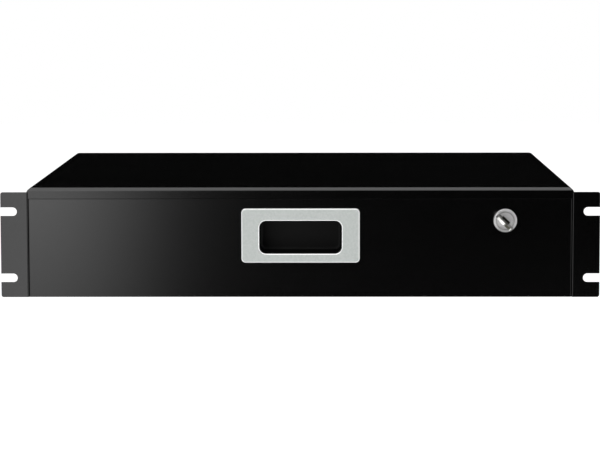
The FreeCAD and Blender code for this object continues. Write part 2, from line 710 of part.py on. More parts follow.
def make_balls(side, name, ball_x, ball_z, diameter):
    """Steel balls in a row above and a row below."""
    body = slide_body(side, f"{name}_balls")
    ball = body.newObject("PartDesign::AdditiveSphere", f"{body.Name}_ball")
    ball.AttachmentSupport = [(origin_part(body, "XZ_Plane"), "")]
    ball.MapMode = "FlatFace"
    ball.setExpression("Radius", (diameter / 2).text)
    ball.setExpression("AttachmentOffset.Base.x", ball_x.text)
    ball.setExpression("AttachmentOffset.Base.y", ball_z.text)
    ball.setExpression("AttachmentOffset.Base.z", (-S["ball_start"]).text)
    DOC.recompute()
    spread(body, [ball], [("Y_Axis", S["ball_pitch"], S["ball_count"])], "XY_Plane")
    return body


def make_slide(side):
    outer_web = RAIL + S["cage_play"]
    inner_web = S["middle_from"] + RAIL + S["cage_play"]
    outer = (S["outer_ball_x"], OUTER_BALL_Z, S["outer_ball"])
    inner = (S["inner_ball_x"], INNER_BALL_Z, S["inner_ball"])
    return [
        make_outer_rail(side), make_cage(side, "outer", outer_web, *outer),
        make_balls(side, "outer", *outer), make_middle_rail(side),
        make_cage(side, "inner", inner_web, *inner), make_balls(side, "inner", *inner),
        make_inner_rail(side)]


# ---- the drawer --------------------------------------------------------------------------

CUP_HALF_WIDTH = S["grip_width"] / 2 + S["cup_play"] + S["cup_sheet"]
CUP_HALF_HEIGHT = S["grip_height"] / 2 + S["cup_play"] + S["cup_sheet"]
CUP_CORNER = S["grip_corner"] + S["cup_play"] + S["cup_sheet"]
FRONT_WALL = S["sheet"] * 2                         # rear face of the tray's front wall


def add_front_openings(sketch, with_weld_studs):
    """Cut-outs that the front and the tray behind it share."""
    play = S["cut_play"]
    across, up = CUP_HALF_WIDTH + play, CUP_HALF_HEIGHT + play
    add_box(sketch, S["pull_x"] - across, S["pull_x"] + across, S["grip_centre"] - up,
            S["grip_centre"] + up, CUP_CORNER + play)
    add_circle(sketch, S["lock_x"], S["lock_z"], S["lock_barrel"] + play * 2)
    for x, z in pull_stud_places():
        add_circle(sketch, S["pull_x"] + x, z, S["pull_stud"] + S["screw_play"] * 2)
    if with_weld_studs:
        for x, z in weld_stud_places():
            add_circle(sketch, x, z, SCREW_HOLE)


def weld_stud_places():
    return [(S["stud_x"] * side, height) for side in (-1, 1)
            for height in (S["stud_low"], S["stud_high"])]


def pull_stud_places():
    """The surround's studs from its own middle."""
    return [(S["pull_stud_x"] * side, S["pull_centre"] + S["pull_stud_z"] * level)
            for side in (-1, 1) for level in (-1, 1)]


def make_drawer_tray():
    """Open tray folded from sheet, its sides and back hemmed inward at the top."""
    body = new_body("drawer_tray", y=S["front_y"])
    sheet, bend, wall = S["sheet"], S["tray_bend"], TRAY_SIDE - S["sheet"]
    inner, rear = bend - sheet, S["tray_rear"] - sheet
    sketch = new_sketch(body, "XY_Plane", S["tray_bottom"])
    add_box(sketch, -TRAY_SIDE, TRAY_SIDE, sheet, S["tray_rear"], bend)
    pad(body, sketch, S["tray_top"] - S["tray_bottom"])
    # the room under the hems
    floor = S["tray_bottom"] + sheet
    sketch = new_sketch(body, "XY_Plane", floor)
    add_box(sketch, -wall, wall, FRONT_WALL, rear, inner)
    pocket(body, sketch, S["tray_top"] - sheet - floor, reverse=True)
    # the mouth inside the hems
    sketch = new_sketch(body, "XY_Plane", S["tray_top"])
    mouth = wall - S["tray_hem"]
    add_box(sketch, -mouth, mouth, FRONT_WALL, rear - S["tray_hem"])
    pocket(body, sketch, S["tray_top"] - floor)
    sketch = new_sketch(body, "XZ_Plane", 0)
    add_front_openings(sketch, True)
    pocket(body, sketch, FRONT_WALL + sheet)
    side_screw_holes(body, [S["slide_centre"]])
    return body


def make_drawer_front():
    """Front panel with returns folded back on all four sides."""
    body = new_body("drawer_front", y=S["front_y"])
    sheet, half = S["sheet"], S["front_width"] / 2
    low, high = S["front_bottom"], S["front_top"]
    sketch = new_sketch(body, "XZ_Plane", S["front_depth"])
    add_box(sketch, -half, half, low, high)
    pad(body, sketch, S["front_depth"])
    round_edges(body, S["front_bend"],
                lambda box: near(box.YMin, 0) and near(box.YMax, 0)
                and near(box.ZMin, low) and near(box.ZMax, high))
    round_edges(body, S["front_edge"],
                lambda box: near(box.YMin, 0) and near(box.YMax, 0) and near(box.ZMin, box.ZMax))
    sketch = new_sketch(body, "XZ_Plane", sheet)
    add_box(sketch, -half + sheet, half - sheet, low + sheet, high - sheet)
    pocket(body, sketch)
    sketch = new_sketch(body, "XZ_Plane", -MARGIN)
    add_front_openings(sketch, False)
    pocket(body, sketch, MARGIN + sheet * 2)
    return body


def make_front_studs():
    """Weld studs on the back of the front, through the tray's front wall."""
    body = new_body("front_studs", y=S["front_y"])
    sketch = new_sketch(body, "XZ_Plane", S["stud_end"])
    for x, z in weld_stud_places():
        add_circle(sketch, x, z, S["screw_thread"])
    pad(body, sketch, S["stud_end"] - S["sheet"])
    return body


def make_nuts(name, places, flats, thread, height, middle=0.0):
    """Nuts against the rear of the tray's front wall, placed from their group's middle."""
    body = new_body(name, x=middle, y=S["front_y"])
    sketch = new_sketch(body, "XZ_Plane", FRONT_WALL + height)
    for x, z in places:
        add_hexagon(sketch, x, z, flats)
        add_circle(sketch, x, z, thread + S["screw_play"])
    pad(body, sketch, height)
    return body


def make_rail_tray_screws():
    """Low-headed screws from inside the tray into the inner rails."""
    body = new_body("rail_tray_screws", y=S["front_y"] + S["screw_start"], z=S["slide_centre"])
    sketch = new_sketch(body, "XZ_Plane")
    screw_profile(sketch, TRAY_SIDE - S["sheet"], TRAY_SIDE + RAIL)
    screw = revolve(body, sketch, "H_Axis")
    spread(body, [screw], [("Y_Axis", S["screw_pitch"], SCREWS_IN_ROW)], "YZ_Plane")
    return body


# ---- the recessed pull -------------------------------------------------------------------

def make_pull_surround():
    """Cast surround with rounded rims, rebated behind for the cup and carrying four studs."""
    body = new_body("pull_surround", x=S["pull_x"], y=S["front_y"])
    half, up, centre = S["pull_width"] / 2, S["pull_height"] / 2, S["pull_centre"]
    thick, grip = S["pull_thick"], S["grip_centre"]
    sketch = new_sketch(body, "XZ_Plane", 0)
    add_box(sketch, -half, half, centre - up, centre + up, S["pull_corner"])
    pad(body, sketch, thick)
    sketch = new_sketch(body, "XZ_Plane", -thick - MARGIN)
    across, rise = S["grip_width"] / 2, S["grip_height"] / 2
    add_box(sketch, -across, across, grip - rise, grip + rise, S["grip_corner"])
    pocket(body, sketch)
    round_edges(body, S["pull_edge"], lambda box: near(box.YMin, -thick) and near(box.YMax, -thick))
    sketch = new_sketch(body, "XZ_Plane", -S["cup_sheet"])
    flange, play = S["cup_flange"], S["cut_play"]
    across, rise = CUP_HALF_WIDTH + flange + play, CUP_HALF_HEIGHT + flange + play
    add_box(sketch, -across, across, grip - rise, grip + rise, CUP_CORNER)
    pocket(body, sketch)
    sketch = new_sketch(body, "XZ_Plane", S["pull_stud_end"])
    for x, z in pull_stud_places():
        add_circle(sketch, x, z, S["pull_stud"])
    pad(body, sketch, S["pull_stud_end"] + S["cup_sheet"] / 2)
    return body


def make_pull_cup():
    """Pressed cup for the fingers, its flange held behind the surround."""
    body = new_body("pull_cup", x=S["pull_x"], y=S["front_y"])
    thin, grip, depth = S["cup_sheet"], S["grip_centre"], S["cup_depth"]
    flange_x, flange_z = CUP_HALF_WIDTH + S["cup_flange"], CUP_HALF_HEIGHT + S["cup_flange"]
    sketch = new_sketch(body, "XZ_Plane", depth)
    add_box(sketch, -CUP_HALF_WIDTH, CUP_HALF_WIDTH, grip - CUP_HALF_HEIGHT,
            grip + CUP_HALF_HEIGHT, CUP_CORNER)
    pad(body, sketch, depth + thin)
    sketch = new_sketch(body, "XZ_Plane", 0)
    add_box(sketch, -flange_x, flange_x, grip - flange_z, grip + flange_z,
            CUP_CORNER - S["cut_play"])
    pad(body, sketch, thin)
    sketch = new_sketch(body, "XZ_Plane", -thin - MARGIN)
    wide, tall = CUP_HALF_WIDTH - thin, CUP_HALF_HEIGHT - thin
    add_box(sketch, -wide, wide, grip - tall, grip + tall, CUP_CORNER - thin)
    pocket(body, sketch, MARGIN + depth)
    floor = depth - thin
    round_edges(body, S["cup_round"],
                lambda box: near(box.YMin, floor) and near(box.YMax, floor)
                and near(box.ZMin, grip + tall))
    round_edges(body, S["cup_round"] + thin,
                lambda box: near(box.YMin, depth) and near(box.YMax, depth)
                and near(box.ZMin, grip + CUP_HALF_HEIGHT))
    return body


# ---- the lock ----------------------------------------------------------------------------

UPRIGHT = Vector(0, -1, 0)      # the lock's axis, out of the front


def lock_body(name, turns):
    """A body on the lock's axis; what turns with the key stands at the key's angle."""
    place = (S["lock_x"], S["front_y"], S["lock_z"])
    if turns:
        return new_body(name, *place, UPRIGHT, S["key_turn"])
    return new_body(name, *place)


def make_lock_housing():
    """Round head and threaded barrel with two flats, bored for the plug."""
    body = lock_body("lock_housing", False)
    head, barrel, end = S["lock_head"] / 2, S["lock_barrel"] / 2, S["lock_barrel_end"]
    bore = S["plug_shaft"] / 2 + S["plug_play"]
    mouth = S["plug_face"] / 2 + S["plug_play"]
    rise, seat = S["lock_head_height"], S["lock_head_height"] - S["plug_sink"] - S["plug_step"]
    sketch = new_sketch(body, "XY_Plane")
    add_outline(sketch, [(bore, -seat), (mouth, -seat), (mouth, -rise),
                         (head, -rise, S["lock_head_edge"]), (head, 0), (barrel, 0),
                         (barrel, end), (bore, end)])
    revolve(body, sketch, "V_Axis")
    sketch = new_sketch(body, "XZ_Plane", 0)
    flat = S["lock_barrel_flats"] / 2
    for side in (-1, 1):
        near_side, far_side = sorted((flat * side, (flat + MARGIN) * side),
                                     key=lambda item: item.number)
        add_box(sketch, near_side, far_side, -head, head)
    pocket(body, sketch)
    return body


def make_lock_nut():
    body = lock_body("lock_nut", False)
    sketch = new_sketch(body, "XZ_Plane", FRONT_WALL + S["lock_nut_height"])
    add_hexagon(sketch, 0, 0, S["lock_nut_flats"])
    add_circle(sketch, 0, 0, S["lock_barrel"] + S["screw_play"])
    pad(body, sketch, S["lock_nut_height"])
    return body


def make_lock_plug():
    """Plug with its keyway, and a square end for the cam."""
    body = lock_body("lock_plug", True)
    face, shaft = S["plug_face"] / 2, S["plug_shaft"] / 2
    front = S["lock_head_height"] - S["plug_sink"]
    step = front - S["plug_step"] + S["plug_play"]
    end = S["cam_start"]
    sketch = new_sketch(body, "XY_Plane")
    add_outline(sketch, [(0, -front), (face, -front), (face, -step), (shaft, -step),
                         (shaft, end), (0, end)])
    revolve(body, sketch, "V_Axis")
    square = S["plug_square"] / 2
    tail = S["cam_thick"] - S["plug_play"]
    sketch = new_sketch(body, "XZ_Plane", end + tail)
    add_box(sketch, -square, square, -square, square)
    pad(body, sketch, tail + S["plug_play"])
    sketch = new_sketch(body, "XZ_Plane", -S["lock_head_height"])
    across = S["key_thick"] / 2 + S["key_play"] + S["keyway_slack"]
    up = S["key_blade"] / 2 + S["key_play"]
    add_box(sketch, -across, across, -up, up)
    pocket(body, sketch, S["lock_head_height"] + S["key_blade_end"] + S["key_play"])
    sketch = new_sketch(body, "XZ_Plane", end + tail)
    add_circle(sketch, 0, 0, S["screw_thread"] + S["screw_play"])
    pocket(body, sketch, S["cam_screw_depth"] - S["plug_play"], reverse=True)
    return body


def make_key():
    """Flat key with a rounded bow, hanging a little out of line in the plug's keyway."""
    body = lock_body("key", True)
    blade, bow = S["key_blade"] / 2, S["key_bow"] / 2
    neck, reach, tip = S["key_neck"], S["key_reach"], S["key_blade_end"]
    aside = S["key_offset"]
    round_bow = bow - S["key_play"]
    lean = math.radians(S["key_droop"].number)
    pivot = (tip - S["lock_head_height"] + S["plug_sink"]) / 2
    sketch = new_sketch(body, "YZ_Plane", -pivot * math.tan(lean))
    sketch.AttachmentOffset = Placement(sketch.AttachmentOffset.Base,
                                        Rotation(Vector(0, 1, 0), -S["key_droop"].number))
    sketch.setExpression("AttachmentOffset.Rotation.Angle", (-S["key_droop"]).text)
    add_outline(sketch, [
        (-reach, aside - bow, round_bow), (-neck, aside - bow, S["key_neck"] / 2), (-neck, -blade),
        (tip, -blade), (tip, blade / 2), (tip - blade / 2, blade), (-neck, blade),
        (-neck, aside + bow, S["key_neck"] / 2), (-reach, aside + bow, round_bow)])
    add_circle(sketch, -reach + S["key_eye"], aside, S["key_eye"])
    pad(body, sketch, S["key_thick"], midplane=True)
    return body


def make_lock_cam():
    """Flat cam that turns up behind the strike."""
    body = lock_body("lock_cam", True)
    half, reach = S["cam_width"] / 2, S["cam_reach"]
    sketch = new_sketch(body, "XZ_Plane", S["cam_start"] + S["cam_thick"])
    add_outline(sketch, [
        (-half, -S["cam_tail"], S["cam_corner"]), (half, -S["cam_tail"], S["cam_corner"]),
        (half, reach, half), (-half, reach, half)])
    hole = S["plug_square"] / 2 + S["plug_play"]
    add_box(sketch, -hole, hole, -hole, hole)
    pad(body, sketch, S["cam_thick"])
    return body


def make_cam_washer():
    body = lock_body("cam_washer", True)
    sketch = new_sketch(body, "XZ_Plane", S["cam_start"] + S["cam_thick"] + S["washer_thick"])
    add_circle(sketch, 0, 0, S["washer_width"])
    add_circle(sketch, 0, 0, SCREW_HOLE)
    pad(body, sketch, S["washer_thick"])
    return body


def make_cam_screw():
    body = lock_body("cam_screw", True)
    seat = S["cam_start"] + S["cam_thick"] + S["washer_thick"]
    head, thread = S["cam_screw_head"] / 2, S["screw_thread"] / 2
    tip = S["cam_start"] + S["cam_thick"] - S["cam_screw_depth"] + S["plug_play"]
    sketch = new_sketch(body, "XY_Plane")
    add_outline(sketch, [(0, tip), (thread, tip), (thread, seat), (head, seat),
                         (head, seat + S["cam_screw_height"]), (0, seat + S["cam_screw_height"])])
    revolve(body, sketch, "V_Axis")
    return body


# ---- build, check and write --------------------------------------------------------------

def build():
    bodies = [make_case_cover(), make_base_pan(), make_lock_strike(), make_case_side_screws()]
    for side in ("left", "right"):
        bodies += make_slide(side)
    bodies += [
        make_drawer_tray(), make_drawer_front(), make_front_studs(),
        make_nuts("front_nuts", weld_stud_places(), S["nut_flats"], S["screw_thread"],
                  S["nut_height"]),
        make_rail_tray_screws(), make_pull_surround(), make_pull_cup(),
        make_nuts("pull_nuts", pull_stud_places(), S["pull_nut_flats"], S["pull_stud"],
                  S["pull_nut_height"], S["pull_x"]),
        make_lock_housing(), make_lock_nut(), make_lock_plug(), make_key(), make_lock_cam(),
        make_cam_washer(), make_cam_screw()]
    DOC.recompute()
    return bodies


def write(bodies):
    for item in DOC.Objects:
        if "Invalid" in item.State or "Error" in item.State:
            raise RuntimeError(f"{item.Name} did not build: {item.State}")
    os.makedirs("parts", exist_ok=True)
    for body in bodies:
        shape = body.Shape
        if shape.isNull() or not shape.isValid():
            raise RuntimeError(f"{body.Label} has no valid shape")
        shape.exportStep(f"parts/{body.Label}.step")
        print(body.Label, len(shape.Solids), "solids")


write(build())
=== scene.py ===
import math

import bmesh
import bpy
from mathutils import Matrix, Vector


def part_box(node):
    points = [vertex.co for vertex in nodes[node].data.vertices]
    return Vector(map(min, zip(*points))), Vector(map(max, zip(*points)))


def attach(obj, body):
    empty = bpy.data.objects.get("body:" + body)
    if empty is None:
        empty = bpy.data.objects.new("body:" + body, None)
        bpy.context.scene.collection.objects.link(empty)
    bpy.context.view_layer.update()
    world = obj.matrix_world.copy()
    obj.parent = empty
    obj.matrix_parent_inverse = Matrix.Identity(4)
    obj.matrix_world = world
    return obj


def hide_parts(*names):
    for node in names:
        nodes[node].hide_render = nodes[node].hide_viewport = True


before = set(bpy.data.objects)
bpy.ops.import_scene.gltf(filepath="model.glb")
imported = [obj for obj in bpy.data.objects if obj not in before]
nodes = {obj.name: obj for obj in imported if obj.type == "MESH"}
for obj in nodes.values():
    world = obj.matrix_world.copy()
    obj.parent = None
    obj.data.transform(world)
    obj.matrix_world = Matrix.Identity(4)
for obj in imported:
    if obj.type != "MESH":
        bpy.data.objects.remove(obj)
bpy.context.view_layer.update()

# ---- Case cover ------------------------------------------------------------------------
# The top, both sides, the rack ears and the narrow front lip are folded from one steel
# sheet. It is powder coated black after folding, so the bends carry the same fine grain.


def shader(name, colour, metallic, roughness, specular=0.5):
    """A new material with plain values set, with its node tree and its surface."""
    material = bpy.data.materials.new(name)
    material.use_nodes = True
    tree = material.node_tree
    surface = tree.nodes["Principled BSDF"]
    surface.inputs["Base Color"].default_value = (*colour, 1.0)
    surface.inputs["Metallic"].default_value = metallic
    surface.inputs["Roughness"].default_value = roughness
    surface.inputs["Specular IOR Level"].default_value = specular
    return material, tree, surface


def grain(tree, scale, detail=2.0, stretch=(1.0, 1.0, 1.0)):
    """Noise in the object's own metres; a stretch below 1 draws it out along that axis."""
    place = tree.nodes.new("ShaderNodeTexCoord")
    mapping = tree.nodes.new("ShaderNodeMapping")
    mapping.inputs["Scale"].default_value = stretch
    noise = tree.nodes.new("ShaderNodeTexNoise")
    noise.inputs["Scale"].default_value = scale
    noise.inputs["Detail"].default_value = detail
    tree.links.new(place.outputs["Object"], mapping.inputs["Vector"])
    tree.links.new(mapping.outputs["Vector"], noise.inputs["Vector"])
    return noise.outputs["Fac"]


def ramp(tree, value, start, end, first=0.0, last=1.0, eased=True):
    """Goes from first to last while a value goes from start to end, slow at both if eased."""
    mapped = tree.nodes.new("ShaderNodeMapRange")
    mapped.interpolation_type = "SMOOTHSTEP" if eased else "LINEAR"
    mapped.inputs["From Min"].default_value = start
    mapped.inputs["From Max"].default_value = end
    mapped.inputs["To Min"].default_value = first
    mapped.inputs["To Max"].default_value = last
    tree.links.new(value, mapped.inputs["Value"])
    return mapped.outputs["Result"]


def spread_values(tree, source, low, high):
    """Map a noise from its usual values onto low to high."""
    usual_low, usual_high = 0.3, 0.7
    return ramp(tree, source, usual_low, usual_high, low, high, eased=False)


def blend(tree, share, first, second):
    """Colour from the first at share 0 to the second at 1, each a plain one or an output."""
    mixed = tree.nodes.new("ShaderNodeMix")
    mixed.data_type = "RGBA"
    tree.links.new(share, mixed.inputs["Factor"])
    for label, colour in (("A", first), ("B", second)):
        if isinstance(colour, tuple):
            mixed.inputs[label].default_value = (*colour, 1.0)
        else:
            tree.links.new(colour, mixed.inputs[label])
    return mixed.outputs["Result"]


def tint(tree, surface, source, dark, light):
    """Colour that wanders between two tones with a noise."""
    wander = blend(tree, spread_values(tree, source, 0.0, 1.0), dark, light)
    tree.links.new(wander, surface.inputs["Base Color"])


def bump(tree, surface, source, depth, strength):
    """Relief of a depth in metres; its strength from 0 to 1 says how much of it shows."""
    relief = tree.nodes.new("ShaderNodeBump")
    relief.inputs["Distance"].default_value = depth
    relief.inputs["Strength"].default_value = strength
    tree.links.new(source, relief.inputs["Height"])
    tree.links.new(relief.outputs["Normal"], surface.inputs["Normal"])


def powder_coat(name):
    """Black powder coat with a fine, slightly uneven grain."""
    roughness, swing = 0.14, 0.02
    material, tree, surface = shader(name, (0.004, 0.004, 0.004), metallic=0.0,
                                     roughness=roughness)
    tint(tree, surface, grain(tree, scale=40.0), dark=(0.0008, 0.0008, 0.0008),
         light=(0.0014, 0.0014, 0.0014))
    gloss = spread_values(tree, grain(tree, scale=900.0, detail=3.0), roughness - swing,
                          roughness + swing)
    tree.links.new(gloss, surface.inputs["Roughness"])
    bump(tree, surface, grain(tree, scale=1600.0, detail=3.0), depth=0.00002, strength=0.1)
    return material, tree, surface


def facing(tree, direction):
    """How squarely the surface faces a direction: 1 towards it, -1 away from it."""
    place = tree.nodes.new("ShaderNodeTexCoord")
    towards = tree.nodes.new("ShaderNodeVectorMath")
    towards.operation = "DOT_PRODUCT"
    towards.inputs[1].default_value = direction
    tree.links.new(place.outputs["Normal"], towards.inputs[0])
    return towards.outputs["Value"]


def dress(material, *names):
    """Give CAD nodes a finish of their own."""
    for name in names:
        for slot in nodes[name].material_slots:
            slot.material = material


# The cover shines less where it turns left.
to_right = (1.0, 0.0, 0.0)
cover_shine, left_shine = 0.5, 0.25
case_coat, tree, surface = powder_coat("black powder coat of the cover")
tree.links.new(ramp(tree, facing(tree, to_right), start=-0.15, end=-0.5, first=cover_shine,
                    last=left_shine), surface.inputs["Specular IOR Level"])
dress(case_coat, "case_cover")

# ---- Base pan --------------------------------------------------------------------------
# Second sheet of the case: the base with upright side flanges and the rear wall, folded
# and powder coated like the cover and screwed to it from both sides.

black_coat = powder_coat("black powder coat")[0]
dress(black_coat, "base_pan")

# ---- Lock strike -----------------------------------------------------------------------
# A short steel angle, spot welded under the top before coating. The lock's cam turns up
# behind it.

dress(black_coat, "lock_strike")

# ---- Case side screws ------------------------------------------------------------------
# Low-headed M4 machine screws with a cross recess, rolled thread, black oxide finished.
# The upper rows hold the slides and the lower rows the base pan.


def lathe(rings, sides, loop=False):
    """Skin through rings, each giving radius and height at an angle, capped or looped."""
    corners = []
    for ring in rings:
        for index in range(sides):
            angle = math.tau * index / sides
            radius, height = ring(angle)
            corners.append((radius * math.cos(angle), radius * math.sin(angle), height))
    rows = len(rings)
    faces = []
    for row in range(rows if loop else rows - 1):
        low, high = row * sides, (row + 1) % rows * sides
        for index in range(sides):
            after = (index + 1) % sides
            faces.append((low + index, low + after, high + after, high + index))
    if not loop:
        faces.append(tuple(range(sides))[::-1])
        faces.append(tuple(range((rows - 1) * sides, rows * sides)))
    return corners, faces


def even(radius, height):
    """Ring that is round and level."""
    return lambda angle: (radius, height)


def thread(radius, pitch, depth, start, end):
    """Rings of a helical thread from start to end, cut in from the radius by its depth."""
    rings_per_turn = 8
    count = max(2, round(abs(end - start) / pitch * rings_per_turn))

    def ring(height):
        def at(angle):
            phase = (height / pitch - angle / math.tau) % 1.0
            return radius - depth * abs(2.0 * phase - 1.0), height
        return at
    return [ring(start + (end - start) * step / count) for step in range(count + 1)]


def cross(reach, half_width, height):
    """Ring along the outline of a cross recess."""
    def at(angle):
        off_arm = abs((angle + math.pi / 4) % (math.pi / 2) - math.pi / 4)
        if math.tan(off_arm) < half_width / reach:
            return reach / math.cos(off_arm), height
        return half_width / math.sin(off_arm), height
    return at


def rounded(radius, height, edge, steps):
    """Rings over a rounded edge, from the flat top at the height down to the radius."""
    turns = [math.pi / 2 * step / steps for step in range(steps + 1)]
    return [even(radius - edge + edge * math.sin(turn), height - edge + edge * math.cos(turn))
            for turn in turns]


def screw(head, head_height, shank, length, pitch):
    """Machine screw: recess, rounded head, thread and chamfered tip; its face at height 0."""
    # The recess in shares of the head: its arms' reach and half width, and its depth.
    recess = ((0.08, 0.03, 0.95), (0.32, 0.07, 0.80), (0.52, 0.12, 0.03))
    rings = [cross(head * reach, head * half_width, -head_height * depth)
             for reach, half_width, depth in recess]
    land = head * 0.66
    rings.append(even(land, -head_height * 0.02))
    rings += rounded(head, 0.0, edge=head_height * 0.4, steps=4)
    rings += [even(head, -head_height), even(shank, -head_height)]
    rings += thread(shank, pitch, shank * 0.16, -head_height - pitch / 2, -length + pitch)
    rings += [even(shank * 0.7, -length), even(shank * 0.1, -length)]
    return lathe(rings[::-1], sides=96)


def template(name, shape):
    """An object of a shape, which is corners and faces, not yet put in the scene."""
    corners, faces = shape
    mesh = bpy.data.meshes.new(name)
    mesh.from_pydata(corners, [], faces)
    return bpy.data.objects.new(name, mesh)


def solid_boxes(node):
    """Low and high corners of each separate solid in a node, in the order of its mesh."""
    weld_distance = 1e-6
    shape = bmesh.new()
    shape.from_mesh(nodes[node].data)
    bmesh.ops.remove_doubles(shape, verts=shape.verts, dist=weld_distance)
    met, boxes = set(), []
    for first in shape.verts:
        if first in met:
            continue
        met.add(first)
        heap, island = [first], []
        while heap:
            corner = heap.pop()
            island.append(corner.co.copy())
            for side in corner.link_edges:
                other = side.other_vert(corner)
                if other not in met:
                    met.add(other)
                    heap.append(other)
        boxes.append((Vector(min(point[axis] for point in island) for axis in range(3)),
                      Vector(max(point[axis] for point in island) for axis in range(3))))
    shape.free()
    return boxes


def repeat_tree():
    """Tree that puts a fastener on every point, turned as the point says and spun at random."""
    tree = bpy.data.node_groups.new("fasteners on points", "GeometryNodeTree")
    sockets = {}
    for label, kind in (("Points", "Geometry"), ("Fastener", "Object"), ("Finish", "Material"),
                        ("Spin", "Float"), ("Seed", "Int")):
        sockets[label] = tree.interface.new_socket(label, in_out="INPUT",
                                                   socket_type=f"NodeSocket{kind}").identifier
    tree.interface.new_socket("Fasteners", in_out="OUTPUT", socket_type="NodeSocketGeometry")
    given = tree.nodes.new("NodeGroupInput")
    fastener = tree.nodes.new("GeometryNodeObjectInfo")
    turn = tree.nodes.new("GeometryNodeInputNamedAttribute")
    turn.data_type = "FLOAT_VECTOR"
    turn.inputs["Name"].default_value = "turn"
    place = tree.nodes.new("GeometryNodeInstanceOnPoints")
    chance = tree.nodes.new("FunctionNodeRandomValue")
    # This node has such sockets for each kind of value, and these are the plain numbers'.
    most, chosen = chance.inputs[3], chance.outputs[1]
    about = tree.nodes.new("ShaderNodeCombineXYZ")
    spin = tree.nodes.new("GeometryNodeRotateInstances")
    realize = tree.nodes.new("GeometryNodeRealizeInstances")
    finish = tree.nodes.new("GeometryNodeSetMaterial")
    result = tree.nodes.new("NodeGroupOutput")
    for source, target in (
            (given.outputs["Points"], place.inputs["Points"]),
            (given.outputs["Fastener"], fastener.inputs["Object"]),
            (fastener.outputs["Geometry"], place.inputs["Instance"]),
            (turn.outputs["Attribute"], place.inputs["Rotation"]),
            (given.outputs["Spin"], most),
            (given.outputs["Seed"], chance.inputs["Seed"]),
            (chosen, about.inputs["Z"]),
            (place.outputs["Instances"], spin.inputs["Instances"]),
            (about.outputs["Vector"], spin.inputs["Rotation"]),
            (spin.outputs["Instances"], realize.inputs["Geometry"]),
            (realize.outputs["Geometry"], finish.inputs["Geometry"]),
            (given.outputs["Finish"], finish.inputs["Material"]),
            (finish.outputs["Geometry"], result.inputs["Fasteners"])):
        tree.links.new(source, target)
    return tree, sockets


fastener_tree, fastener_sockets = repeat_tree()


def smooth(mesh):
    """Smooth shading that keeps the sharper edges."""
    sharp_angle = math.radians(32.0)
    for face in mesh.polygons:
        face.use_smooth = True
    mesh.set_sharp_from_angle(angle=sharp_angle)


def repeat(name, pattern, places, turns, finish, spin, seed):
    """Mesh with the pattern at every place, turned by its turn about X, Y and Z."""
    points = bpy.data.meshes.new(name)
    points.from_pydata(places, [], [])
    attribute = points.attributes.new("turn", "FLOAT_VECTOR", "POINT")
    for item, turn in zip(attribute.data, turns):
        item.vector = turn
    piece = bpy.data.objects.new(name, points)
    bpy.context.scene.collection.objects.link(piece)
    modifier = piece.modifiers.new(name, "NODES")
    modifier.node_group = fastener_tree
    for label, value in (("Fastener", pattern), ("Finish", finish), ("Spin", spin), ("Seed", seed)):
        modifier[fastener_sockets[label]] = value
    ready = piece.evaluated_get(bpy.context.evaluated_depsgraph_get())
    mesh = bpy.data.meshes.new_from_object(ready)
    piece.modifiers.clear()
    piece.data = mesh
    mesh.materials.clear()
    mesh.materials.append(finish)
    for face in mesh.polygons:
        face.material_index = 0
    smooth(mesh)
    return piece


def side_screws(node, body, finish, outward, seed):
    """Cross-recessed screws through the sides, heads out if outward is 1 and in if -1."""
    places, turns = [], []
    boxes = solid_boxes(node)
    for low, high in boxes:
        side = math.copysign(1.0, low.x + high.x) * outward
        places.append((high.x if side > 0 else low.x, (low.y + high.y) / 2,
                       (low.z + high.z) / 2))
        turns.append((0.0, side * math.pi / 2, 0.0))
    size = boxes[0][1] - boxes[0][0]
    shape = screw(head=size.y / 2, head_height=0.0015, shank=0.002, length=size.x, pitch=0.0007)
    piece = repeat(f"{node}_threaded", template(f"{node} pattern", shape), places, turns, finish,
                   spin=math.pi, seed=seed)
    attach(piece, body)
    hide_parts(node)


screw_black, tree, surface = shader("black oxide screws", (0.02, 0.02, 0.021), metallic=0.6,
                                    roughness=0.38)
tint(tree, surface, grain(tree, scale=500.0), dark=(0.014, 0.014, 0.015),
     light=(0.028, 0.027, 0.027))
bump(tree, surface, grain(tree, scale=2500.0), depth=0.00001, strength=0.3)
side_screws("case_side_screws", "case", screw_black, outward=1, seed=3)

# ---- Slide rails -----------------------------------------------------------------------
# Each slide has three channels rolled from zinc plated strip. The rolling leaves faint
# lines along their length.


def zinc_plate(name, colour, roughness):
    """Zinc on rolled strip, its pattern drawn out along the rail."""
    swing, darkening = 0.07, 0.86
    drawn_out = (1.0, 0.02, 1.0)
    material, tree, surface = shader(name, colour, metallic=1.0, roughness=roughness)
    darker = tuple(channel * darkening for channel in colour)
    lines = grain(tree, scale=420.0, detail=3.0, stretch=drawn_out)
    tint(tree, surface, grain(tree, scale=60.0, detail=3.0), dark=darker, light=colour)
    tree.links.new(spread_values(tree, lines, roughness - swing, roughness + swing),
                   surface.inputs["Roughness"])
    bump(tree, surface, lines, depth=0.00001, strength=0.4)
    return material


rail_zinc = zinc_plate("zinc plated rail", (0.62, 0.64, 0.65), roughness=0.30)
dress(rail_zinc, *(f"{side}_rail_{part}" for side in ("left", "right")
                   for part in ("outer", "middle", "inner")))

# ---- Ball cages ------------------------------------------------------------------------
# Thin pressed steel channels that space the balls between the rails, dull zinc plated and
# greased.

cage_steel = zinc_plate("greased cage steel", (0.46, 0.46, 0.44), roughness=0.42)
dress(cage_steel, *(f"{side}_{race}_cage" for side in ("left", "right")
                    for race in ("outer", "inner")))

# ---- Balls -----------------------------------------------------------------------------
# Hardened chrome steel balls, ground and polished, running in the races in two rows for
# each cage.

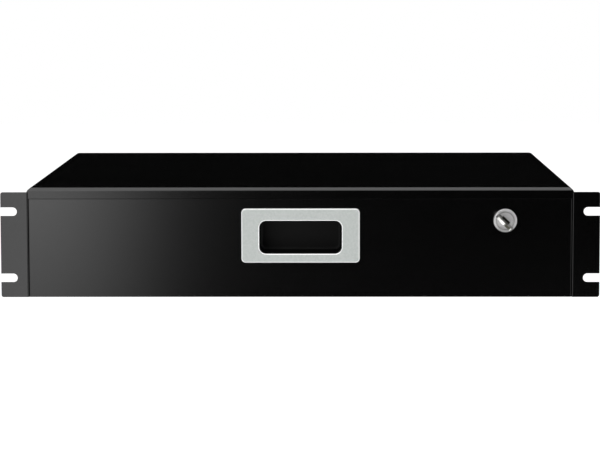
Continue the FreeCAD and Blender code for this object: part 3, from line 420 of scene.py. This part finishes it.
ball_steel, tree, surface = shader("polished ball steel", (0.72, 0.72, 0.72), metallic=1.0,
                                   roughness=0.10)
tree.links.new(spread_values(tree, grain(tree, scale=900.0), low=0.06, high=0.16),
               surface.inputs["Roughness"])
dress(ball_steel, *(f"{side}_{race}_balls" for side in ("left", "right")
                    for race in ("outer", "inner")))

# ---- Drawer tray -----------------------------------------------------------------------
# Open tray folded from sheet and spot welded at its corners, its sides and back hemmed
# inward at the top. Coated like the case.

dress(black_coat, "drawer_tray")

# ---- Drawer front ----------------------------------------------------------------------
# Front panel with its edges folded back on all four sides, coated like the case and a
# little duller over the folds. It is clamped to the tray by weld studs and nuts.


def math_node(tree, operation, first, second=0.0):
    """Result of an operation on one or two values, each plain or an output."""
    node = tree.nodes.new("ShaderNodeMath")
    node.operation = operation
    for socket, value in zip(node.inputs, (first, second)):
        if isinstance(value, float):
            socket.default_value = value
        else:
            tree.links.new(value, socket)
    return node.outputs["Value"]


def position(tree, direction, start=(0.0, 0.0, 0.0)):
    """Distance in metres along a direction, counted from a start."""
    place = tree.nodes.new("ShaderNodeTexCoord")
    offset = tree.nodes.new("ShaderNodeVectorMath")
    offset.operation = "SUBTRACT"
    offset.inputs[1].default_value = start
    along = tree.nodes.new("ShaderNodeVectorMath")
    along.operation = "DOT_PRODUCT"
    along.inputs[1].default_value = direction
    tree.links.new(place.outputs["Object"], offset.inputs[0])
    tree.links.new(offset.outputs["Vector"], along.inputs[0])
    return along.outputs["Value"]


# The front shines more towards its top, and its folds keep only a share of that.
to_top = (0.0, 0.0, 1.0)
low_shine, high_shine, shine_height = 0.39, 0.565, 0.08
fold_share = 0.16
front_coat, tree, surface = powder_coat("black powder coat of the front")
steeper = math_node(tree, "MAXIMUM", facing(tree, to_right), facing(tree, to_top))
over_fold = ramp(tree, steeper, start=0.1, end=0.6, first=1.0, last=fold_share)
sheen = ramp(tree, position(tree, to_top), start=0.0, end=shine_height, first=low_shine,
             last=high_shine, eased=False)
tree.links.new(math_node(tree, "MULTIPLY", over_fold, sheen),
               surface.inputs["Specular IOR Level"])
dress(front_coat, "drawer_front")

# ---- Studs, nuts and tray screws -------------------------------------------------------
# Bright zinc plated fixings: weld studs and chamfered hexagon nuts inside the tray, and
# the low-headed screws that hold the tray to the inner rails.

fixing_zinc, tree, surface = shader("bright zinc fixings", (0.60, 0.61, 0.60), metallic=1.0,
                                    roughness=0.28)
tint(tree, surface, grain(tree, scale=300.0), dark=(0.50, 0.51, 0.50), light=(0.64, 0.65, 0.63))
tree.links.new(spread_values(tree, grain(tree, scale=1200.0), low=0.20, high=0.36),
               surface.inputs["Roughness"])


def hexagon(apothem, height, slope, inner):
    """Ring along a hexagon that sinks by a slope outside the inner radius, as a chamfer."""
    def at(angle):
        radius = apothem / math.cos((angle + math.pi / 6) % (math.pi / 3) - math.pi / 6)
        return radius, height - slope * max(0.0, radius - inner)
    return at


def nut(flats, bore, height, pitch):
    """Hexagon nut with both faces chamfered and a threaded bore, centred on its middle."""
    apothem, half, mouth = flats / 2, height / 2, bore * 1.08
    inner, slope = apothem * 0.96, math.tan(math.radians(30.0))
    rings = [even(mouth, half)]
    rings += thread(bore, pitch, bore * 0.14, half - pitch / 2, -half + pitch / 2)
    rings += [even(mouth, -half), even(inner, -half), hexagon(apothem, -half, -slope, inner),
              hexagon(apothem, half, slope, inner), even(inner, half)]
    return lathe(rings, sides=72, loop=True)


def stud(radius, length, pitch):
    """Weld stud: flared weld at height 0, thread, and a chamfered end at its length."""
    rings = [even(radius * 1.5, 0.0), even(radius * 1.3, length * 0.04),
             even(radius * 1.05, length * 0.1)]
    rings += thread(radius, pitch, radius * 0.15, length * 0.16, length - pitch / 2)
    rings += [even(radius * 0.7, length), even(radius * 0.1, length)]
    return lathe(rings, sides=48)


def rear_fixings(node, shape, at_front, spin, seed):
    """Zinc fixings that stand along Y in the tray's front wall, one for each solid."""
    places = []
    for low, high in solid_boxes(node):
        along = low.y if at_front else (low.y + high.y) / 2
        places.append(((low.x + high.x) / 2, along, (low.z + high.z) / 2))
    turns = [(-math.pi / 2, 0.0, 0.0)] * len(places)
    piece = repeat(f"{node}_threaded", template(f"{node} pattern", shape), places, turns,
                   fixing_zinc, spin, seed)
    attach(piece, "drawer")
    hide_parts(node)


low, high = solid_boxes("front_studs")[0]
weld_stud = stud(radius=(high.x - low.x) / 2, length=high.y - low.y, pitch=0.0007)
rear_fixings("front_studs", weld_stud, at_front=True, spin=math.pi, seed=5)
for node, bore, pitch, seed in (("front_nuts", 0.00205, 0.0007, 7),
                                ("pull_nuts", 0.00155, 0.0005, 11)):
    low, high = solid_boxes(node)[0]
    rear_fixings(node, nut(high.z - low.z, bore, high.y - low.y, pitch), at_front=False,
                 spin=math.pi, seed=seed)
side_screws("rail_tray_screws", "drawer", fixing_zinc, outward=-1, seed=13)
dress(fixing_zinc, "cam_washer", "cam_screw")

# ---- Pull surround ---------------------------------------------------------------------
# Die-cast surround of the recessed pull. Its face is satin plated and its rounded rims,
# round the outside and round the opening, are buffed bright. Their colour also carries
# painted light where they turn left and painted shade where they turn up.

satin_metal, tree, surface = shader("satin surround", (0.60, 0.62, 0.61), metallic=1.0,
                                    roughness=0.6)
satin = blend(tree, spread_values(tree, grain(tree, scale=700.0, detail=3.0), 0.0, 1.0),
              (0.48, 0.508, 0.492), (0.54, 0.562, 0.548))

# The rims within these distances of the opening's middle are the ones round the opening.
inner_half_width, inner_half_height, opening_drop = 0.0348, 0.0149, 0.0013
low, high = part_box("pull_surround")
opening = ((low.x + high.x) / 2, 0.0, (low.z + high.z) / 2 - opening_drop)
across = math_node(tree, "DIVIDE", position(tree, to_right, opening), inner_half_width)
upward = math_node(tree, "DIVIDE", position(tree, to_top, opening), inner_half_height)
further = math_node(tree, "MAXIMUM", math_node(tree, "ABSOLUTE", across),
                    math_node(tree, "ABSOLUTE", upward))
outside = math_node(tree, "GREATER_THAN", further, 1.0)

# A rim that turns left is painted as bright as the inner ones, as painted light, and one
# that turns up is darkened, as painted shade.
inner_rim, outer_rim, painted_rim_shade = (0.98, 0.985, 0.98), (0.80, 0.81, 0.80), (0.12, 0.12, 0.12)
painted_left_light = ramp(tree, facing(tree, to_right), start=-0.1, end=-0.5, eased=False)
painted_top_shade = ramp(tree, facing(tree, to_top), start=0.1, end=0.5, last=0.30, eased=False)
buffed_and_painted_rims = blend(tree, painted_left_light, blend(tree, outside, inner_rim, outer_rim), inner_rim)
buffed_and_painted_rims = blend(tree, painted_top_shade, buffed_and_painted_rims, painted_rim_shade)

to_back = (0.0, 1.0, 0.0)
satin_roughness, buffed_roughness = 0.62, 0.30
rim = ramp(tree, facing(tree, to_back), start=-0.99, end=-0.90)
tree.links.new(blend(tree, rim, satin, buffed_and_painted_rims), surface.inputs["Base Color"])
tree.links.new(ramp(tree, rim, 0.0, 1.0, satin_roughness, buffed_roughness, eased=False),
               surface.inputs["Roughness"])
bump(tree, surface, grain(tree, scale=2200.0, detail=3.0), depth=0.00001, strength=0.25)
dress(satin_metal, "pull_surround")

# ---- Pull cup --------------------------------------------------------------------------
# Cup for the fingers behind the surround, pressed from black plastic sheet. Its flange is
# trapped between the surround and the drawer front.

cup_black, tree, surface = shader("black cup", (0.003, 0.003, 0.003), metallic=0.0,
                                  roughness=0.5, specular=0.14)
bump(tree, surface, grain(tree, scale=1500.0), depth=0.00002, strength=0.3)
dress(cup_black, "pull_cup")

# ---- Lock housing ----------------------------------------------------------------------
# Head and threaded barrel of the cam lock, die cast, its face turned and nickel plated.
# A nut behind the tray's front wall holds it.

plug_low, plug_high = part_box("lock_plug")
lock_axis = ((plug_low.x + plug_high.x) / 2, 0.0, (plug_low.z + plug_high.z) / 2)
plug_radius = (plug_high.x - plug_low.x) / 2
key_angle = math.radians(47.0)
key_along = (math.sin(key_angle), 0.0, -math.cos(key_angle))
key_across = (math.cos(key_angle), 0.0, math.sin(key_angle))


def painted_key_shadow(tree, along, across, half_length, half_width):
    """One inside a soft-edged bar of painted key shadow beside the keyway, 0 outside it."""
    soft_edge = 0.0003
    lengthwise = math_node(tree, "SUBTRACT", position(tree, key_along, lock_axis), along)
    crosswise = math_node(tree, "SUBTRACT", position(tree, key_across, lock_axis), across)
    beyond = math_node(tree, "SUBTRACT", math_node(tree, "ABSOLUTE", lengthwise), half_length)
    aside = math_node(tree, "SUBTRACT", math_node(tree, "ABSOLUTE", crosswise), half_width)
    return ramp(tree, math_node(tree, "MAXIMUM", beyond, aside), soft_edge, -soft_edge)


def lock_shade(tree, upward, distance):
    """How dark the nickel is, from 0 to 1: painted shade on the seam at its top and on
    slopes, less on slopes turned right, a painted shadow of the key, and darker low down.
    """
    seam_width, seam_dark, slope_dark, right_light, low_dark = 0.0006, 0.6, 0.38, 0.25, 0.4
    # Painted shade on the seam round the plug, at its top only.
    off_seam = math_node(tree, "ABSOLUTE", math_node(tree, "SUBTRACT", distance, plug_radius))
    on_top = math_node(tree, "MULTIPLY", ramp(tree, upward, start=-0.002, end=0.005), seam_dark)
    seam = math_node(tree, "MULTIPLY", ramp(tree, off_seam, seam_width, 0.0), on_top)
    # Painted shade on slopes, less where they turn right.
    rightward = ramp(tree, facing(tree, to_right), start=0.0, end=0.3)
    sloping = ramp(tree, facing(tree, to_back), start=-0.998, end=-0.95)
    slope_shade = math_node(tree, "SUBTRACT", slope_dark,
                            math_node(tree, "MULTIPLY", rightward, right_light))
    slope = math_node(tree, "MULTIPLY", sloping, slope_shade)
    # Painted shadow of the key: two mottled bars beside the keyway.
    painted_key_shadows = math_node(
        tree, "MAXIMUM",
        painted_key_shadow(tree, along=-0.0034, across=-0.0003, half_length=0.0034, half_width=0.0012),
        painted_key_shadow(tree, along=0.0060, across=-0.0008, half_length=0.0028, half_width=0.0008))
    uneven = spread_values(tree, grain(tree, scale=900.0, detail=3.0), low=0.6, high=0.95)
    mottled_key_shadow = math_node(tree, "MULTIPLY", painted_key_shadows, uneven)
    lower = math_node(tree, "MULTIPLY", ramp(tree, upward, start=-0.002, end=-0.0085), low_dark)
    darkest = math_node(tree, "MAXIMUM", math_node(tree, "MAXIMUM", seam, slope), mottled_key_shadow)
    return math_node(tree, "ADD", lower, darkest)


def turned_nickel(name, colour, roughness):
    """Nickel plate over turning marks, darkened where lock_shade says, mostly as painted shade."""
    swing, marks_per_metre, dark_tone = 0.06, 1900.0, (0.03, 0.03, 0.025)
    material, tree, surface = shader(name, colour, metallic=1.0, roughness=roughness)
    across = position(tree, to_right, lock_axis)
    upward = position(tree, to_top, lock_axis)
    squares = [math_node(tree, "MULTIPLY", leg, leg) for leg in (across, upward)]
    distance = math_node(tree, "SQRT", math_node(tree, "ADD", *squares))
    tree.links.new(blend(tree, lock_shade(tree, upward, distance), colour, dark_tone),
                   surface.inputs["Base Color"])
    turning = tree.nodes.new("ShaderNodeTexNoise")
    turning.noise_dimensions = "1D"
    turning.inputs["Scale"].default_value = marks_per_metre
    turning.inputs["Detail"].default_value = 2.0
    tree.links.new(distance, turning.inputs["W"])
    marks = turning.outputs["Fac"]
    tree.links.new(spread_values(tree, marks, roughness - swing, roughness + swing),
                   surface.inputs["Roughness"])
    bump(tree, surface, marks, depth=0.00002, strength=0.5)
    return material


def barrel_lock():
    """Housing turned about the lock's axis, with two flats along its barrel."""
    low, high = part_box("lock_housing")
    # The head is a disc with a rounded edge, its rear face at height 0.
    head, rise, edge = (high.x - low.x) / 2, 0.003, 0.0008
    # The plug's face sits sunk in the mouth, and its shaft runs in the bore.
    plug_play, plug_sink, plug_step, chamfer, bore = 0.0001, 0.0006, 0.0018, 0.0002, 0.0058
    mouth, seat = plug_radius + plug_play, rise - plug_sink - plug_step
    # The barrel has a plain neck, then its thread up to a short plain tip.
    neck, neck_end, tip, half_flats = 0.0077, -0.0014, 0.0074, 0.0068
    crest, pitch, thread_depth, thread_start, run_out = 0.0079, 0.001, 0.0005, -0.0018, 0.0006
    end = rise - (high.y - low.y)
    rings = [even(bore, end), even(bore, seat), even(mouth, seat), even(mouth, rise - chamfer),
             even(mouth + chamfer, rise)]
    rings += rounded(head, rise, edge, steps=6)
    rings += [even(head, 0.0), even(neck, 0.0), even(neck, neck_end)]
    rings += thread(crest, pitch, thread_depth, thread_start, end + run_out)
    rings.append(even(tip, end))
    corners, faces = lathe(rings[::-1], sides=144, loop=True)
    just_behind_head = -1e-6
    flattened = [(max(-half_flats, min(half_flats, x)) if z < just_behind_head else x, y, z)
                 for x, y, z in corners]
    placed = [(lock_axis[0] + x, low.y + rise - z, lock_axis[2] + y) for x, y, z in flattened]
    return placed, faces


lock_nickel = turned_nickel("turned nickel", (0.66, 0.655, 0.66), roughness=0.42)
housing = template("lock_housing_threaded", barrel_lock())
bpy.context.scene.collection.objects.link(housing)
housing.data.materials.append(lock_nickel)
smooth(housing.data)
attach(housing, "drawer")
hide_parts("lock_housing")

# ---- Lock nut --------------------------------------------------------------------------
# Thin hexagon nut of steel with chamfered corners, zinc plated. It runs on the barrel's
# thread and clamps the lock to the tray's front wall.

low, high = solid_boxes("lock_nut")[0]
barrel_nut = nut(flats=high.z - low.z, bore=0.0080, height=high.y - low.y, pitch=0.001)
rear_fixings("lock_nut", barrel_nut, at_front=False, spin=0.4, seed=17)

# ---- Lock plug -------------------------------------------------------------------------
# The part of the lock that turns with the key, which goes in through its face. It is made
# and nickel plated like the housing.

# The plug takes the painted shade and the painted key shadow of the same nickel.
dress(lock_nickel, "lock_plug")

# ---- Key -------------------------------------------------------------------------------
# Flat key with a rounded bow, stamped and nickel plated. Its flat sides carry painted shade,
# and its bright nickel edges carry painted shade along a stretch of the bow.

key_nickel, tree, surface = shader("nickel plated key", (0.62, 0.62, 0.60), metallic=1.0,
                                   roughness=0.22)
# Both flat sides are painted dark, as painted shade.
flat_side = max(nodes["key"].data.polygons, key=lambda face: face.area).normal
flat_side_share = ramp(tree, math_node(tree, "ABSOLUTE", facing(tree, flat_side)), start=0.75, end=0.95,
               eased=False)
sides = blend(tree, spread_values(tree, grain(tree, scale=350.0, detail=3.0), 0.0, 1.0),
              (0.16, 0.155, 0.125), (0.30, 0.29, 0.25))

# The edge carries painted shade along a stretch of the bow, given in shares of the bow's width.
dark_from, dark_full, light_from, light_full = 0.46, 0.54, 0.80, 0.86
reach = [(corner.co - Vector(lock_axis)).dot(Vector(key_along))
         for corner in nodes["key"].data.vertices]
bow_width = max(reach) - min(reach)
along = math_node(tree, "SUBTRACT", position(tree, key_along, lock_axis), min(reach))
painted_edge_shade = math_node(tree, "MULTIPLY",
                   ramp(tree, along, bow_width * dark_from, bow_width * dark_full),
                   ramp(tree, along, bow_width * light_full, bow_width * light_from))
edge = blend(tree, painted_edge_shade, (0.86, 0.86, 0.83), (0.07, 0.07, 0.055))

tree.links.new(blend(tree, flat_side_share, edge, sides), surface.inputs["Base Color"])
tree.links.new(spread_values(tree, grain(tree, scale=1500.0, detail=3.0, stretch=(1.0, 0.2, 1.0)),
                             low=0.16, high=0.30), surface.inputs["Roughness"])
bump(tree, surface, grain(tree, scale=1800.0, detail=3.0), depth=0.00001, strength=0.4)
dress(key_nickel, "key")

# ---- Lock cam --------------------------------------------------------------------------
# Flat steel arm on the plug's square end, cut from strip and zinc plated. A washer and a
# screw hold it, and it turns up behind the strike.

dress(fixing_zinc, "lock_cam")

# ---- Floor and room --------------------------------------------------------------------
# White room: a pale floor well below the object, which hangs free, and pale walls. Both
# show white to the eye and in metal, and the floor still takes the object's soft shadow.


def seen_ray(tree):
    """One for rays of the eye, of reflections and of clear materials; zero for others."""
    path = tree.nodes.new("ShaderNodeLightPath")
    mirrored = math_node(tree, "MAXIMUM", path.outputs["Is Camera Ray"],
                         path.outputs["Is Glossy Ray"])
    return math_node(tree, "MAXIMUM", mirrored, path.outputs["Is Transmission Ray"])


def panel(name, corners, material, hidden_from=()):
    """A flat piece of the studio, which may be hidden from some kinds of rays."""
    mesh = bpy.data.meshes.new(name)
    mesh.from_pydata(corners, [], [(0, 1, 2, 3)])
    mesh.materials.append(material)
    piece = bpy.data.objects.new(name, mesh)
    bpy.context.scene.collection.objects.link(piece)
    for rays in hidden_from:
        setattr(piece, f"visible_{rays}", False)


floor_drop, floor_reach = -0.75, 14.0
floor_white, tree, surface = shader("floor white", (0.6, 0.6, 0.6), metallic=0.0, roughness=0.9,
                                    specular=0.1)
glow = tree.nodes.new("ShaderNodeEmission")
glow.inputs["Color"].default_value = (0.9, 0.9, 0.9, 1.0)
add = tree.nodes.new("ShaderNodeAddShader")
tree.links.new(seen_ray(tree), glow.inputs["Strength"])
tree.links.new(surface.outputs["BSDF"], add.inputs[0])
tree.links.new(glow.outputs["Emission"], add.inputs[1])
tree.links.new(add.outputs["Shader"], tree.nodes["Material Output"].inputs["Surface"])
panel("studio floor", [(floor_reach * x, floor_reach * y, floor_drop)
                       for x, y in ((-1, -1), (1, -1), (1, 1), (-1, 1))], floor_white)

wall_light, seen_wall = 0.3, 1.0
world = bpy.data.worlds.new("studio walls")
bpy.context.scene.world = world
world.use_nodes = True
tree = world.node_tree
background = tree.nodes["Background"]
background.inputs["Color"].default_value = (1.0, 1.0, 1.0, 1.0)
tree.links.new(ramp(tree, seen_ray(tree), 0.0, 1.0, wall_light, seen_wall, eased=False),
               background.inputs["Strength"])

# ---- Black flags -----------------------------------------------------------------------
# Two sheets of black cloth, one behind the lens and one far behind the object, keep the
# white room out of the black paint. The eye does not see them.


def upright(left, right, depth, low, high):
    """Corners of an upright sheet square to the front, at a depth along Y."""
    return [(left, depth, low), (right, depth, low), (right, depth, high), (left, depth, high)]


flag_black = shader("flag cloth", (0.002, 0.002, 0.002), metallic=0.0, roughness=0.95,
                    specular=0.0)[0]
front_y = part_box("drawer_front")[0].y
flag_right = 2.4
for name, depth, flag_left, flag_top in (("front flag", front_y - 3.5, -1.25, 3.2),
                                         ("rear flag", 5.0, -flag_right, 3.0)):
    panel(name, upright(flag_left, flag_right, depth, floor_drop, flag_top), flag_black,
          hidden_from=("camera", "diffuse", "shadow"))

# ---- Left softbox ----------------------------------------------------------------------
# Soft lamp at the front left. It rises from dark at its right side to its brightest a
# little further on, and is dimmer from there to its left side.


def lamp_face(name):
    """A material that only gives light, with its node tree and its strength."""
    material = bpy.data.materials.new(name)
    material.use_nodes = True
    tree = material.node_tree
    tree.nodes.clear()
    light = tree.nodes.new("ShaderNodeEmission")
    output = tree.nodes.new("ShaderNodeOutputMaterial")
    tree.links.new(light.outputs["Emission"], output.inputs["Surface"])
    return material, tree, light.inputs["Strength"]


box_right, box_left = -0.28, -3.0
box_low, box_high, box_ahead = -0.62, 3.0, 3.0
brightest, side_glow = 2.95, 1.7
softbox_glow, tree, strength = lamp_face("softbox glow")
fade = tree.nodes.new("ShaderNodeValToRGB")
stops = fade.color_ramp.elements
for place_x, glow in ((-0.29, 0.0), (-0.58, brightest), (-0.72, side_glow)):
    share = glow / brightest
    stop = stops.new((place_x - box_right) / (box_left - box_right))
    stop.color = (share, share, share, 1.0)
# The two stops that a colour ramp comes with, at its ends, are taken out.
stops.remove(stops[0])
stops.remove(stops[-1])
tree.links.new(ramp(tree, position(tree, to_right), box_right, box_left, eased=False),
               fade.inputs["Fac"])
tree.links.new(math_node(tree, "MULTIPLY", fade.outputs["Color"], brightest), strength)
panel("left softbox", upright(box_left, box_right, front_y - box_ahead, box_low, box_high),
      softbox_glow, hidden_from=("camera",))

# ---- Right strip -----------------------------------------------------------------------
# Narrow bright wall far out to the right. It shows only in reflections, as the light
# edge of rims that turn that way.

strip_x, strip_top = 2.6, 1.2
strip_near, strip_far = front_y - 3.4, front_y - 0.8
strip_glow, tree, strength = lamp_face("strip glow")
strength.default_value = 1.8
panel("right strip", [(strip_x, strip_near, floor_drop), (strip_x, strip_far, floor_drop),
                      (strip_x, strip_far, strip_top), (strip_x, strip_near, strip_top)],
      strip_glow, hidden_from=("camera", "diffuse", "shadow"))

# ---- Overhead lamp ---------------------------------------------------------------------
# Wide soft lamp above and a little in front, turned to the middle of the drawer front. It
# draws the bright line along the bend at the top.

lamp_ahead, lamp_height, aim_height = 0.6, 1.8, 0.044
overhead = bpy.data.lights.new("overhead lamp", "AREA")
overhead.shape = "RECTANGLE"
overhead.size = 3.0
overhead.size_y = 2.6
overhead.energy = 33.0
lamp = bpy.data.objects.new("overhead lamp", overhead)
lamp.location = (0.0, front_y - lamp_ahead, lamp_height)
aim = Vector((0.0, front_y, aim_height))
lamp.rotation_mode = "QUATERNION"
lamp.rotation_quaternion = (aim - lamp.location).to_track_quat("-Z", "Y")
lamp.visible_camera = False
bpy.context.scene.collection.objects.link(lamp)

# ---- Camera ----------------------------------------------------------------------------
# Long lens, nearly square to the front, from a little above and to the right of the
# middle. It is turned down and left to the object and tilted by a trace.

stand_back = 1.9228
camera_right = 0.0202
camera_height = 0.2602
look_down = math.radians(5.989)
look_left = math.radians(0.590)
tilt = math.radians(0.094)
focal_length, sensor_width = 144.12, 36.0
optics = bpy.data.cameras.new("camera")
optics.lens = focal_length
optics.sensor_width = sensor_width
camera = bpy.data.objects.new("camera", optics)
camera.location = (camera_right, front_y - stand_back, camera_height)
camera.rotation_mode = "XYZ"
camera.rotation_euler = (math.pi / 2 - look_down, tilt, look_left)
bpy.context.scene.collection.objects.link(camera)
bpy.context.scene.camera = camera
bpy.context.scene.view_settings.view_transform = "Standard"
